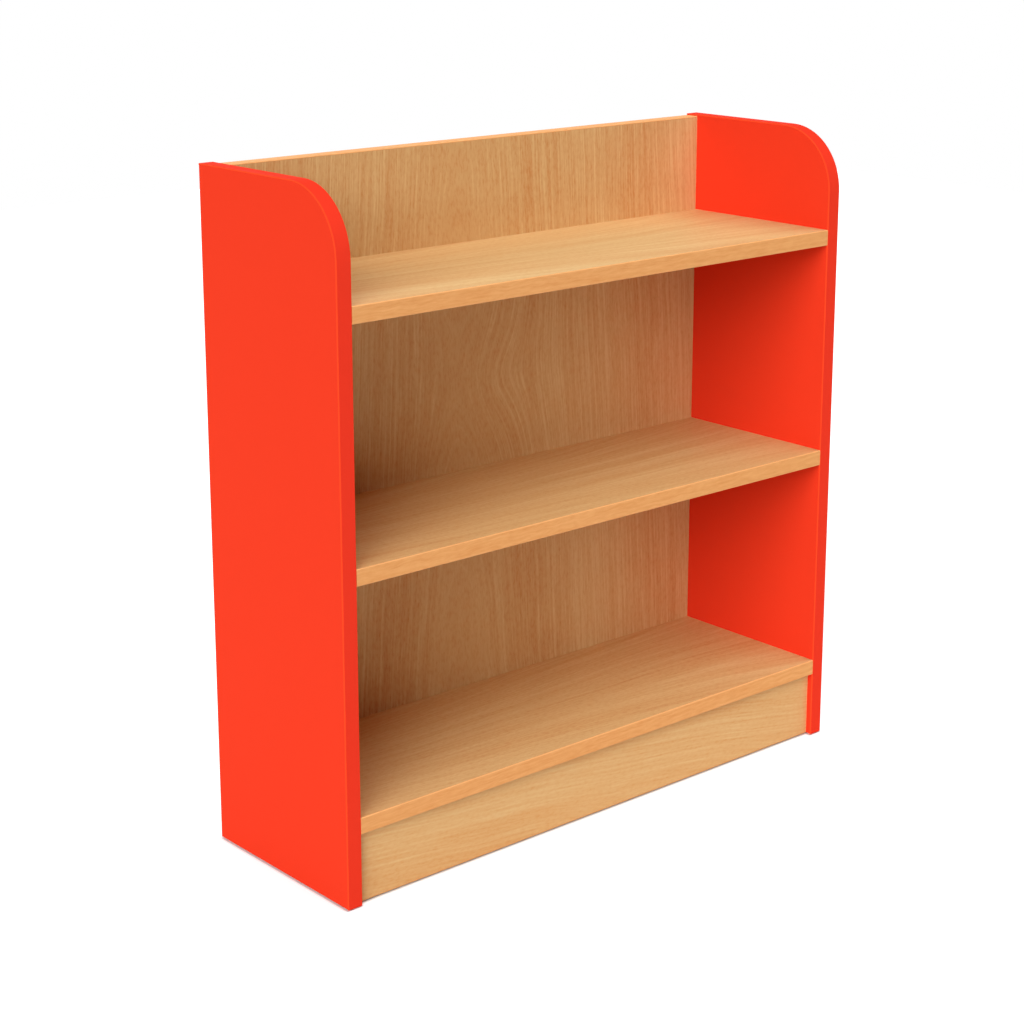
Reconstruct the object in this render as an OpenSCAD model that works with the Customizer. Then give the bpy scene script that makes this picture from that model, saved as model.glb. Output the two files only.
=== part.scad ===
// Single-sided library shelving: two end panels with round top front corners, three fixed shelves,
// a full back panel and a set-back plinth. The boards are laminated chipboard with plastic edge bands.
// Cams, bolts, dowels and screws hold them together, and four nail-on glides carry the ends.
// The origin is the centre of the footprint on the floor: X across the width, Y to the back, Z up.

/* [Overall size] */
// Width over the two end panels
width = 1000; // [800:10:1200]
// Depth from the front edges to the rear edges
depth = 320; // [280:5:450]
// Height from the floor to the tops of the end panels
height = 1025; // [950:5:1400]

/* [Boards] */
// Thickness of the end panels
end_t = 25; // [18:1:30]
// Thickness of the shelves
shelf_t = 25; // [18:1:30]
// Thickness of the back panel
back_t = 25; // [18:1:30]
// Thickness of the plinth
plinth_t = 25; // [18:1:30]
// Radius of the top front corner of an end panel
corner_r = 100; // [20:5:140]
// Height of the end panels above the top shelf
upstand = 160; // [100:5:250]
// Distance of the back panel's top edge below the tops of the end panels
back_drop = 2.5; // [0.5:0.5:20]
// Height of the bottom shelf's underside above the floor
plinth_h = 110; // [100:5:180]
// Distance of the plinth behind the fronts of the shelves
plinth_set = 10; // [2:1:30]

/* [Edge bands] */
// Thickness of an edge band
band_t = 2; // [1:0.5:3]
// Radius of the outer arrises of an edge band
arris_r = 1.5; // [0.5:0.25:1.75]

/* [Cams] */
// Diameter of a cam
cam_d = 15; // [14:0.5:18]
// Distance of a cam's axis from the end of its board
cam_inset = 34; // [24:1:44]
// Distance of a cam's axis from the long edge of its shelf
cam_edge = 50; // [37:1:64]
// Depth of a cam beyond the axis of its bolt
cam_beyond = 4.5; // [4:0.25:5.5]
// Distance of a cam's outer face below the face of its board
cam_sink = 0.5; // [0.25:0.25:1]
// Distance that a cam draws its bolt in
cam_throw = 0.5; // [0.25:0.25:0.75]
// Radius of the chamber for the bolt's head inside a cam
chamber_r = 4.6; // [4.3:0.1:5]
// Angle of the curved slot in a cam's wall
slot_angle = 170; // [120:5:200]
// Length of the driver's cross recess
recess_len = 7; // [6:0.5:8]
// Width of the driver's cross recess
recess_w = 1.4; // [1:0.1:1.8]
// Depth of the driver's cross recess
recess_depth = 3; // [2:0.25:3.5]

/* [Cover caps] */
// Diameter of a cover cap
cap_d = 17.5; // [17:0.5:20]
// Thickness of a cover cap
cap_h = 1.2; // [0.8:0.1:2]
// Diameter of the peg on a cover cap
cap_peg_d = 3; // [2.5:0.1:4]
// Length of the peg on a cover cap
cap_peg_len = 2.5; // [1.5:0.25:3]

/* [Connecting bolts] */
// Diameter of a bolt's thread in the end panel
thread_d = 5; // [4:0.5:6]
// Length of a bolt's thread in the end panel
thread_len = 11; // [8:0.5:13]
// Diameter of a bolt's shaft
shaft_d = 7; // [6:0.5:8]
// Diameter of a bolt's neck
neck_d = 3.8; // [3:0.2:4.4]
// Diameter of a bolt's head
head_d = 6; // [5.4:0.2:6.4]
// Length of a bolt's head
head_len = 2.6; // [2:0.2:3]

/* [Dowels] */
// Diameter of a dowel
dowel_d = 8; // [6:0.5:10]
// Length of a dowel
dowel_len = 35; // [25:1:40]
// Depth of a dowel in the face that its board butts against
dowel_in = 11; // [8:0.5:13]
// Distance of a dowel from the nearest cam fitting
dowel_pitch = 32; // [24:1:40]
// Distance of the outer plinth dowels from the ends of the plinth
plinth_dowel_edge = 175; // [100:5:250]

/* [Fittings of back panel and plinth] */
// Height of the lowest back panel cam above the panel's bottom edge
back_cam_low = 100; // [60:5:150]
// Distance of the highest back panel cam below the panel's top edge
back_cam_high = 60; // [50:5:100]
// Height of the plinth cam above the plinth's bottom edge
plinth_cam_up = 38; // [25:1:45]

/* [Back screws] */
// Diameter of a screw's shoulder in the back panel
screw_d = 7; // [6:0.5:8]
// Diameter of a screw's thread in the shelf
screw_core_d = 5; // [4:0.5:5.5]
// Length of a screw under its head
screw_len = 50; // [40:5:60]
// Diameter of a screw's head
screw_head_d = 11; // [10:0.5:11.5]
// Height of a screw's head
screw_head_h = 3.5; // [3:0.25:5]
// Width across the flats of a screw's socket
socket_w = 4; // [3:0.5:5]
// Depth of a screw's socket
socket_depth = 2.2; // [1.5:0.1:2.5]
// Distance of the outer screws from the ends of a shelf
screw_edge = 125; // [80:5:200]
// Diameter of the plug over a screw's head
plug_d = 12; // [12:0.5:15]
// Thickness of the plug over a screw's head
plug_h = 3; // [2:0.5:5]

/* [Glides] */
// Diameter of a glide
glide_d = 18; // [12:1:18]
// Height of a glide
glide_h = 2; // [1.6:0.2:6]
// Distance of a glide's centre from the front or the rear edge
glide_edge = 40; // [20:5:80]
// Diameter of a glide's nail
nail_d = 2.4; // [2:0.2:3]
// Length of a glide's nail under its head
nail_len = 18; // [12:1:24]
// Diameter of a glide nail's head
nail_head_d = 6; // [5:0.5:8]
// Thickness of a glide nail's head
nail_head_h = 0.8; // [0.6:0.1:1]

/* [Clearances] */
// Gap all round a dowel, cam, bolt thread, screw, plug or nail in its hole
fit = 0.05; // [0.03:0.01:0.1]
// Gap all round a bolt's shaft in its hole, and round neck and head in the cam
play = 0.3; // [0.2:0.05:0.4]
// Spare depth at the bottom of a blind hole
spare = 1; // [0.5:0.25:2]

/* [Hidden] */
$fn = 64;

red = [0.93, 0.13, 0.06];
beech = [0.80, 0.58, 0.38];
zinc = [0.72, 0.73, 0.74];
steel = [0.80, 0.79, 0.74];
raw_beech = [0.82, 0.68, 0.50];
nylon = [0.16, 0.16, 0.17];

// Overrun of a cut past the face that it opens
cut = 1;
// Chamfer at the ends of dowels, threads, plugs and caps
chamfer = 0.6;
// Flat that stays beside an arris on a thin edge band
band_land = 0.2;
// Distance of a nail's head above the sliding face of its glide
nail_lift = 0.2;
// Length of a screw's tapered tip
tip_len = 4;

front_y = -depth / 2;
rear_y = depth / 2;
inner_x = width / 2 - end_t;
mid_end_x = width / 2 - end_t / 2;
base_z = glide_h;
shelf_rear_y = rear_y - back_t;
plinth_mid_y = front_y + plinth_set + plinth_t / 2;
back_mid_y = rear_y - back_t / 2;
back_top_z = height - back_drop;
bottom_top_z = plinth_h + shelf_t;
top_top_z = height - upstand;
middle_top_z = (bottom_top_z + top_top_z) / 2;

// Where the fittings sit on the end panels' inner faces, as [y, z]
function shelf_cam_places(top_z) =
    [for (y = [front_y + cam_edge, shelf_rear_y - cam_edge]) [y, top_z - shelf_t / 2]];
function shelf_dowel_places(top_z) =
    [for (y = [front_y + cam_edge + dowel_pitch, shelf_rear_y - cam_edge - dowel_pitch])
        [y, top_z - shelf_t / 2]];
back_low_z = base_z + back_cam_low;
back_high_z = back_top_z - back_cam_high;
back_middle_z = (back_low_z + back_high_z) / 2;
back_cam_places = [for (z = [back_low_z, back_middle_z, back_high_z]) [back_mid_y, z]];
back_dowel_places =
    [for (z = [back_low_z, back_middle_z, back_high_z - 2 * dowel_pitch]) [back_mid_y, z + dowel_pitch]];
plinth_cam_places = [[plinth_mid_y, base_z + plinth_cam_up]];
plinth_dowel_places = [[plinth_mid_y, base_z + plinth_cam_up + dowel_pitch]];
shelf_tops = [bottom_top_z, middle_top_z, top_top_z];
bolt_places = concat([for (z = shelf_tops) each shelf_cam_places(z)], back_cam_places, plinth_cam_places);
dowel_places =
    concat([for (z = shelf_tops) each shelf_dowel_places(z)], back_dowel_places, plinth_dowel_places);
plinth_dowel_xs = [for (side = [-1, 0, 1]) side * (inner_x - plinth_dowel_edge)];
screw_xs = [for (side = [-1, 0, 1]) side * (inner_x - screw_edge)];
glide_ys = [front_y + glide_edge, rear_y - glide_edge];

// Cam fitting
chamber_h = head_d + 2 * play;
slot_lead = asin((neck_d / 2 + play) / (chamber_r - cam_throw));
head_seat_x = cam_inset + cam_throw - sqrt(pow(chamber_r, 2) - pow(head_d / 2, 2)) + fit;
shaft_len = cam_inset - cam_d / 2 - play;

// Back screws: the grip is what the back panel leaves under the head
screw_grip = back_t - plug_h - screw_head_h;
screw_bite = screw_len - screw_grip;

// Solid box between two opposite corners
module slab(low, high) translate(low) cube(high - low);

// Board across the width, between the end panels
module cross_board(low_y, high_y, low_z, high_z) slab([-inner_x, low_y, low_z], [inner_x, high_y, high_z]);

// Children on the inner face of both end panels, with +x into the panel. A turn of 90 faces them to the back
module at_ends(places, turn = 0)
    for (side = [0, 1]) mirror([side, 0, 0]) for (p = places)
        translate([inner_x, p[0], p[1]]) rotate([turn, 0, 0]) children();

// Children in a row on the joint of shelf and back panel, with +z to the rear
module at_screws(top_z)
    for (x = screw_xs) translate([x, shelf_rear_y, top_z - shelf_t / 2]) rotate([-90, 0, 0]) children();

// Children in a row on the joint of plinth and bottom shelf, with +x up into the shelf
module at_plinth_top()
    for (x = plinth_dowel_xs) translate([x, plinth_mid_y, plinth_h]) rotate([0, -90, 0]) children();

// Children under both glide places of the right end panel
module at_glides() for (y = glide_ys) translate([mid_end_x, y, 0]) children();

// Right-hand piece as it is, or its left-hand twin
module hand(left) mirror([left ? 1 : 0, 0, 0]) children();

// Section of an edge band: glued along y = 0, its outer arrises rounded
module band_section(across) {
    r = min(arris_r, band_t - band_land);
    translate([-across / 2, 0]) square([across, band_t - r]);
    translate([r - across / 2, 0]) square([across - 2 * r, band_t]);
    for (side = [-1, 1]) intersection() {
        translate([side * (across / 2 - r), band_t - r]) circle(r);
        translate([-across / 2, 0]) square([across, band_t]);
    }
}

// Side outline of an end panel, y across and z up, drawn in from its outer edges
module end_outline(inset) {
    r = corner_r - inset;
    low = [front_y + inset, base_z + inset];
    high = [rear_y - inset, height - inset];
    translate(low) square([high[0] - low[0], high[1] - low[1] - r]);
    translate([low[0] + r, low[1]]) square([high[0] - low[0] - r, high[1] - low[1]]);
    translate([low[0] + r, high[1] - r]) circle(r, $fn = 128);
}

// Hole for a bolt's thread in an end panel
module thread_hole() rotate([0, 90, 0])
    translate([0, 0, -cut]) cylinder(d = thread_d + 2 * fit, h = thread_len + spare + cut);

// Holes of one cam fitting in the end of a board: the cam's pocket and the way in for the bolt
module cam_holes(board_t) {
    translate([-cam_inset, 0, -board_t / 2 - cut])
        cylinder(d = cam_d + 2 * fit, h = board_t / 2 + cam_beyond + cut);
    translate([-cam_inset, 0, 0]) rotate([0, 90, 0]) cylinder(d = shaft_d + 2 * play, h = cam_inset + cut);
}

// Hole for a dowel along x, deep enough for the part of it past the joint on that side
module dowel_hole(deep) rotate([0, 90, 0])
    translate([0, 0, -cut]) cylinder(d = dowel_d + 2 * fit, h = deep + spare + cut);
module dowel_hole_in_face() dowel_hole(dowel_in);
module dowel_hole_in_edge() mirror([1, 0, 0]) dowel_hole(dowel_len - dowel_in);

// Right end panel without its bands
module end_board() difference() {
    translate([inner_x, 0, 0]) rotate([90, 0, 90]) linear_extrude(end_t) end_outline(band_t);
    for (p = bolt_places) translate([inner_x, p[0], p[1]]) thread_hole();
    for (p = dowel_places) translate([inner_x, p[0], p[1]]) dowel_hole_in_face();
    at_glides() nail_hole();
}

// Band up the front, round the corner and along the top of the right end panel, as one strip
module end_front_band() translate([mid_end_x, 0, 0]) {
    straight_h = height - corner_r - base_z;
    translate([0, front_y + band_t, base_z]) rotate([0, 0, 180])
        linear_extrude(straight_h) band_section(end_t);
    translate([0, front_y + corner_r, height - corner_r]) rotate([90, 0, -90])
        rotate_extrude(angle = 90, $fn = 128)
            translate([corner_r - band_t, 0]) rotate(-90) band_section(end_t);
    translate([0, front_y + corner_r, height - band_t]) rotate([90, 0, 180])
        linear_extrude(depth - corner_r) band_section(end_t);
}

module end_rear_band() translate([mid_end_x, rear_y - band_t, base_z])
    linear_extrude(height - band_t - base_z) band_section(end_t);

module end_bottom_band() difference() {
    translate([mid_end_x, front_y + band_t, base_z + band_t]) rotate([-90, 0, 0])
        linear_extrude(depth - 2 * band_t) band_section(end_t);
    at_glides() nail_hole();
}

// Shelf without its band, with the holes for its fittings
module shelf_board(top_z) difference() {
    cross_board(front_y + band_t, shelf_rear_y, top_z - shelf_t, top_z);
    at_ends(shelf_cam_places(top_z)) cam_holes(shelf_t);
    at_ends(shelf_dowel_places(top_z)) dowel_hole_in_edge();
    at_screws(top_z) rotate([180, 0, 0]) translate([0, 0, -cut])
        cylinder(d = screw_core_d + 2 * fit, h = screw_bite + spare + cut);
}

module shelf_band(top_z) translate([-inner_x, front_y + band_t, top_z - shelf_t / 2])
    rotate([180, -90, 0]) linear_extrude(2 * inner_x) band_section(shelf_t);

// Back panel without its bands
module back_board() difference() {
    cross_board(shelf_rear_y, rear_y, base_z + band_t, back_top_z - band_t);
    at_ends(back_cam_places, 90) cam_holes(back_t);
    at_ends(back_dowel_places, 90) dowel_hole_in_edge();
    for (z = shelf_tops) at_screws(z) {
        translate([0, 0, -cut]) cylinder(d = screw_d + 2 * fit, h = back_t + 2 * cut);
        translate([0, 0, screw_grip]) cylinder(d = plug_d + 2 * fit, h = plug_h + screw_head_h + cut);
    }
}

module plinth_board() difference() {
    cross_board(plinth_mid_y - plinth_t / 2, plinth_mid_y + plinth_t / 2, base_z + band_t, plinth_h);
    at_ends(plinth_cam_places, 90) cam_holes(plinth_t);
    at_ends(plinth_dowel_places, 90) dowel_hole_in_edge();
    at_plinth_top() dowel_hole_in_edge();
}

// Band over the top or under the bottom of a board across the width
module top_band(mid_y, glue_z, across) translate([-inner_x, mid_y, glue_z])
    rotate([90, 0, 90]) linear_extrude(2 * inner_x) band_section(across);
module bottom_band(mid_y, glue_z, across) translate([-inner_x, mid_y, glue_z])
    rotate([-90, 0, -90]) linear_extrude(2 * inner_x) band_section(across);

// Cam, locked: its outer face is down, and the bolt comes in along x
module cam(board_t) translate([-cam_inset, 0, 0]) {
    low = cam_sink - board_t / 2;
    difference() {
        translate([0, 0, low]) cylinder(d = cam_d, h = cam_beyond - low);
        // Chamber for the bolt's head, off centre so that a turn draws the bolt in
        translate([-cam_throw, 0, -chamber_h / 2]) cylinder(r = chamber_r, h = chamber_h);
        // Curved slot that passes the neck and holds the head back
        rotate(-slot_lead) rotate_extrude(angle = slot_angle + slot_lead)
            translate([chamber_r / 2, -neck_d / 2 - play]) square([cam_d / 2, neck_d + 2 * play]);
        // Mouth where the head goes in before the cam is turned
        rotate(slot_angle) rotate([0, 90, 0]) cylinder(d = chamber_h, h = cam_d);
        for (angle = [0, 90]) rotate(angle) translate([-recess_len / 2, -recess_w / 2, low - cut])
            cube([recess_len, recess_w, recess_depth + cut]);
        translate([0, 0, low - cut]) cylinder(d = cap_peg_d + 2 * fit, h = recess_depth + cut);
    }
}

// Cover cap on the face of the board, its peg in the middle of the cam's recess
module cam_cap(board_t) translate([-cam_inset, 0, -board_t / 2]) rotate_extrude() polygon([
    [0, -cap_h], [cap_d / 2 - chamfer, -cap_h], [cap_d / 2, chamfer - cap_h], [cap_d / 2, 0],
    [cap_peg_d / 2, 0], [cap_peg_d / 2, cap_peg_len], [0, cap_peg_len]
]);

// Connecting bolt: its thread in the end panel, its head in the cam
module bolt() rotate([0, 90, 0]) rotate_extrude() polygon([
    [0, thread_len], [thread_d / 2 - chamfer, thread_len], [thread_d / 2, thread_len - chamfer],
    [thread_d / 2, 0], [shaft_d / 2, 0], [shaft_d / 2, -shaft_len], [neck_d / 2, -shaft_len],
    [neck_d / 2, -head_seat_x], [head_d / 2, -head_seat_x], [head_d / 2, chamfer - head_seat_x - head_len],
    [head_d / 2 - chamfer, -head_seat_x - head_len], [0, -head_seat_x - head_len]
]);

// Dowel along x, across the joint at x = 0
module dowel() rotate([0, 90, 0]) translate([0, 0, dowel_in - dowel_len]) rotate_extrude() polygon([
    [0, 0], [dowel_d / 2 - chamfer, 0], [dowel_d / 2, chamfer], [dowel_d / 2, dowel_len - chamfer],
    [dowel_d / 2 - chamfer, dowel_len], [0, dowel_len]
]);

// Back screw along z, across the joint at z = 0
module screw() difference() {
    rotate_extrude() polygon([
        [0, -screw_bite], [chamfer, -screw_bite], [screw_core_d / 2, tip_len - screw_bite],
        [screw_core_d / 2, 0], [screw_d / 2, 0], [screw_d / 2, screw_grip], [screw_head_d / 2, screw_grip],
        [screw_head_d / 2, screw_grip + screw_head_h], [0, screw_grip + screw_head_h]
    ]);
    translate([0, 0, screw_grip + screw_head_h - socket_depth])
        cylinder(d = socket_w / cos(30), h = socket_depth + cut, $fn = 6);
}

module plug() translate([0, 0, back_t - plug_h]) rotate_extrude() polygon([
    [0, 0], [plug_d / 2 - chamfer, 0], [plug_d / 2, chamfer], [plug_d / 2, plug_h], [0, plug_h]
]);

// Nail of a glide, its head let into the glide
module nail() translate([0, 0, nail_lift]) {
    cylinder(d = nail_head_d, h = nail_head_h);
    translate([0, 0, nail_head_h]) cylinder(d = nail_d, h = nail_len);
}
module nail_hole() cylinder(d = nail_d + 2 * fit, h = nail_lift + nail_head_h + nail_len + spare);

module glide() difference() {
    rotate_extrude() polygon([
        [0, 0], [glide_d / 2 - chamfer, 0], [glide_d / 2, chamfer], [glide_d / 2, glide_h], [0, glide_h]
    ]);
    nail_hole();
    translate([0, 0, -cut]) cylinder(d = nail_head_d + 2 * fit, h = nail_lift + nail_head_h + cut);
}

module left_end_panel() color(red) hand(true) end_board();
module right_end_panel() color(red) hand(false) end_board();
module back_panel() color(beech) back_board();
module top_shelf() color(beech) shelf_board(top_top_z);
module middle_shelf() color(beech) shelf_board(middle_top_z);
module bottom_shelf() color(beech) difference() {
    shelf_board(bottom_top_z);
    at_plinth_top() dowel_hole_in_face();
}
module plinth() color(beech) plinth_board();
module left_end_front_band() color(red) hand(true) end_front_band();
module right_end_front_band() color(red) hand(false) end_front_band();
module left_end_rear_band() color(red) hand(true) end_rear_band();
module right_end_rear_band() color(red) hand(false) end_rear_band();
module left_end_bottom_band() color(red) hand(true) end_bottom_band();
module right_end_bottom_band() color(red) hand(false) end_bottom_band();
module back_panel_top_band() color(beech) top_band(back_mid_y, back_top_z - band_t, back_t);
module back_panel_bottom_band() color(beech) bottom_band(back_mid_y, base_z + band_t, back_t);
module top_shelf_band() color(beech) shelf_band(top_top_z);
module middle_shelf_band() color(beech) shelf_band(middle_top_z);
module bottom_shelf_band() color(beech) shelf_band(bottom_top_z);
module plinth_band() color(beech) bottom_band(plinth_mid_y, base_z + band_t, plinth_t);
module top_shelf_cams() color(zinc) at_ends(shelf_cam_places(top_top_z)) cam(shelf_t);
module middle_shelf_cams() color(zinc) at_ends(shelf_cam_places(middle_top_z)) cam(shelf_t);
module bottom_shelf_cams() color(zinc) at_ends(shelf_cam_places(bottom_top_z)) cam(shelf_t);
module back_panel_cams() color(zinc) at_ends(back_cam_places, 90) cam(back_t);
module plinth_cams() color(zinc) at_ends(plinth_cam_places, 90) cam(plinth_t);
module top_shelf_bolts() color(steel) at_ends(shelf_cam_places(top_top_z)) bolt();
module middle_shelf_bolts() color(steel) at_ends(shelf_cam_places(middle_top_z)) bolt();
module bottom_shelf_bolts() color(steel) at_ends(shelf_cam_places(bottom_top_z)) bolt();
module back_panel_bolts() color(steel) at_ends(back_cam_places, 90) bolt();
module plinth_bolts() color(steel) at_ends(plinth_cam_places, 90) bolt();
module top_shelf_dowels() color(raw_beech) at_ends(shelf_dowel_places(top_top_z)) dowel();
module middle_shelf_dowels() color(raw_beech) at_ends(shelf_dowel_places(middle_top_z)) dowel();
module bottom_shelf_dowels() color(raw_beech) at_ends(shelf_dowel_places(bottom_top_z)) dowel();
module back_panel_dowels() color(raw_beech) at_ends(back_dowel_places) dowel();
module plinth_end_dowels() color(raw_beech) at_ends(plinth_dowel_places) dowel();
module plinth_top_dowels() color(raw_beech) at_plinth_top() dowel();
module top_shelf_cam_caps() color(beech) at_ends(shelf_cam_places(top_top_z)) cam_cap(shelf_t);
module middle_shelf_cam_caps() color(beech) at_ends(shelf_cam_places(middle_top_z)) cam_cap(shelf_t);
module top_shelf_screws() color(zinc) at_screws(top_top_z) screw();
module middle_shelf_screws() color(zinc) at_screws(middle_top_z) screw();
module bottom_shelf_screws() color(zinc) at_screws(bottom_top_z) screw();
module screw_plugs() color(beech) for (z = shelf_tops) at_screws(z) plug();
module left_glides() color(nylon) hand(true) at_glides() glide();
module right_glides() color(nylon) hand(false) at_glides() glide();
module left_glide_nails() color(steel) hand(true) at_glides() nail();
module right_glide_nails() color(steel) hand(false) at_glides() nail();

left_end_panel();
right_end_panel();
back_panel();
top_shelf();
middle_shelf();
bottom_shelf();
plinth();
left_end_front_band();
right_end_front_band();
left_end_rear_band();
right_end_rear_band();
left_end_bottom_band();
right_end_bottom_band();
back_panel_top_band();
back_panel_bottom_band();
top_shelf_band();
middle_shelf_band();
bottom_shelf_band();
plinth_band();
top_shelf_cams();
middle_shelf_cams();
bottom_shelf_cams();
back_panel_cams();
plinth_cams();
top_shelf_bolts();
middle_shelf_bolts();
bottom_shelf_bolts();
back_panel_bolts();
plinth_bolts();
top_shelf_dowels();
middle_shelf_dowels();
bottom_shelf_dowels();
back_panel_dowels();
plinth_end_dowels();
plinth_top_dowels();
top_shelf_cam_caps();
middle_shelf_cam_caps();
top_shelf_screws();
middle_shelf_screws();
bottom_shelf_screws();
screw_plugs();
left_glides();
right_glides();
left_glide_nails();
right_glide_nails();
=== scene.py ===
"""Finishes, threaded fittings and studio of a single-sided library bookcase, built round its CAD parts."""

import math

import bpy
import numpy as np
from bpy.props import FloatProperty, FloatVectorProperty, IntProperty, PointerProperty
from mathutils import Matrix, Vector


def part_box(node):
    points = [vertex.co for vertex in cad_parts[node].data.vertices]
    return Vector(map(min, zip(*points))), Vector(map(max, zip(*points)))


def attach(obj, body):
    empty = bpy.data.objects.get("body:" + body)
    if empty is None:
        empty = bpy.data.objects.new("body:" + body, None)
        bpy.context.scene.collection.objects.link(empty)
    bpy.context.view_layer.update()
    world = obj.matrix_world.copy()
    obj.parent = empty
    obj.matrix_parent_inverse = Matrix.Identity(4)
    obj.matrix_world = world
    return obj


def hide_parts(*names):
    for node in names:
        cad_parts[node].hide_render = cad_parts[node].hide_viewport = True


bl_info = {
    "name": "Library Bookcase Finishes",
    "version": (1, 0, 0),
    "blender": (4, 5, 0),
    "location": "3D View > Sidebar > Bookcase",
    "description": "Board laminates, edge bands, fittings and a plain studio for a library bookcase",
    "category": "Object",
}

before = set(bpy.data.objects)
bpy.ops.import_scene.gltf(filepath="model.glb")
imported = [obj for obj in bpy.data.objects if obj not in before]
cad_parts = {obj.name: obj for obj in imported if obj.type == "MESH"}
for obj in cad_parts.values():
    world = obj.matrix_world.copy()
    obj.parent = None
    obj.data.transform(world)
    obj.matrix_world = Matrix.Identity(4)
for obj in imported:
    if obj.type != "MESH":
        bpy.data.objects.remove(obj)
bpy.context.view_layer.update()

BODY = "root"
X, Y, Z = 0, 1, 2
SHELVES = ("top_shelf", "middle_shelf", "bottom_shelf")
ENDS = ("left_end", "right_end")

# Corners of a CAD mesh that lie closer than this are one point, in metres
WELD = 2e-6
# Points round a bolt, a screw and a nail, and round a dowel for each of its flutes
BOLT_SIDES, SCREW_SIDES, NAIL_SIDES, FLUTE_SIDES = 32, 36, 24, 4
# Rings of points in one turn of a thread
RINGS_PER_TURN = 12
# Half the width of a thread's ridge at its foot and at its top, as shares of the pitch
RIDGE_FOOT, RIDGE_TOP = 0.28, 0.055
# Width of a thread's core at its tip, of a nail at its tip and of a cross recess at its bottom, as shares
THREAD_TIP, NAIL_TIP, CROSS_BOTTOM = 0.35, 0.1, 0.8
# Share of a nail ring's pitch over which the ring widens
RING_SLOPE = 0.8
# Faces that meet at more than this many degrees meet in a sharp edge
SHARP_EDGE = 35.0
# How far the edges of a glue line and of the painted highlight on the arrises blur, as shares of their width
GLUE_BLUR, ARRIS_HIGHLIGHT_BLUR = 0.4, 0.5
WHITE = (1.0, 1.0, 1.0)

# Seeds of a board's noises, each added to its own seed
RIPPLE, BANDS, BROAD, LINES, CALM, THREADS, FLECKS, SWAY = 3.1, 7.3, 11.9, 13.9, 17.7, 19.7, 23.0, 29.3
# Cells of those noises in a metre, across the grain and along it
DRIFT_CELLS, RIPPLE_CELLS, SWAY_CELLS = (3.0, 1.5), (9.0, 4.0), (5.0, 4.5)
BROAD_CELLS, CALM_CELLS = (6.0, 1.0), (9.0, 1.5)
# The same along the grain alone, where a user can change the width across it
BANDS_ALONG, LINES_ALONG, THREADS_ALONG = 0.9, 2.0, 12.0
# How far the bands push the growth rings together and apart, in radians of their wave
UNEVEN_RINGS = 1.6
# Seeds of a beech band's noises, and the step of its own seed from band to band
WAVES, MOTTLE, SPECKS, SEED_STEP = 3.0, 5.0, 9.0, 3.0
# Cells of those noises in a metre, along the band and across it
WAVE_CELLS, STREAK_CELLS = (22.0, 40.0), (9.0, 210.0)
MOTTLE_CELLS, SPECK_CELLS = (46.0, 230.0), (160.0, 700.0)
# Cells in a metre across and along the drawn lines of a red band, and of its grit
DRAWN_CELLS, GRIT_CELLS = (1400.0, 2.0), 900.0
# Cells in a metre across and along the pores of a dowel
PORE_CELLS = (1500.0, 60.0)
# Cells in a metre of the cloudy tone of red laminate, metal and plastic, and of the texture of plastic
RED_CLOUDS, METAL_CLOUDS, PLASTIC_CLOUDS, PLASTIC_GRIT = 9.0, 220.0, 90.0, 1800.0

# How each board lies in its log: the axes along and across its grain and through it, the place of the
# heart line across, the place of the swell along, the lean and the spread of the rings, and its seed
GRAINS = {
    "back_panel": dict(along=Z, across=X, deep=Y, heart=-0.04, apex=0.64, lean=0.05, spread=0.0, seed=158.3),
    "plinth": dict(along=X, across=Z, deep=Y, heart=-0.05, apex=0.8, lean=0.11, spread=0.0, seed=5.0),
    "top_shelf": dict(along=X, across=Y, deep=Z, heart=-0.4, apex=0.1, lean=0.01, spread=-0.9, seed=31.0),
    "middle_shelf": dict(along=X, across=Y, deep=Z, heart=-0.4, apex=0.1, lean=-0.02, spread=-0.7, seed=47.0),
    "bottom_shelf": dict(along=X, across=Y, deep=Z, heart=-0.4, apex=-0.2, lean=0.02, spread=-0.9, seed=59.0),
}


def colour_property(name, description, default):
    return FloatVectorProperty(
        name=name, description=description, subtype="COLOR", size=3, min=0.0, max=1.0, default=default
    )


def length_property(name, description, default):
    return FloatProperty(
        name=name, description=description, unit="LENGTH", min=0.0, precision=5, default=default
    )


def angle_property(name, description, degrees):
    return FloatProperty(name=name, description=description, unit="ROTATION", default=math.radians(degrees))


def share_property(name, description, default):
    return FloatProperty(
        name=name, description=description, subtype="FACTOR", min=0.0, max=1.0, default=default
    )


def number_property(name, description, default):
    return FloatProperty(name=name, description=description, default=default)


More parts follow.
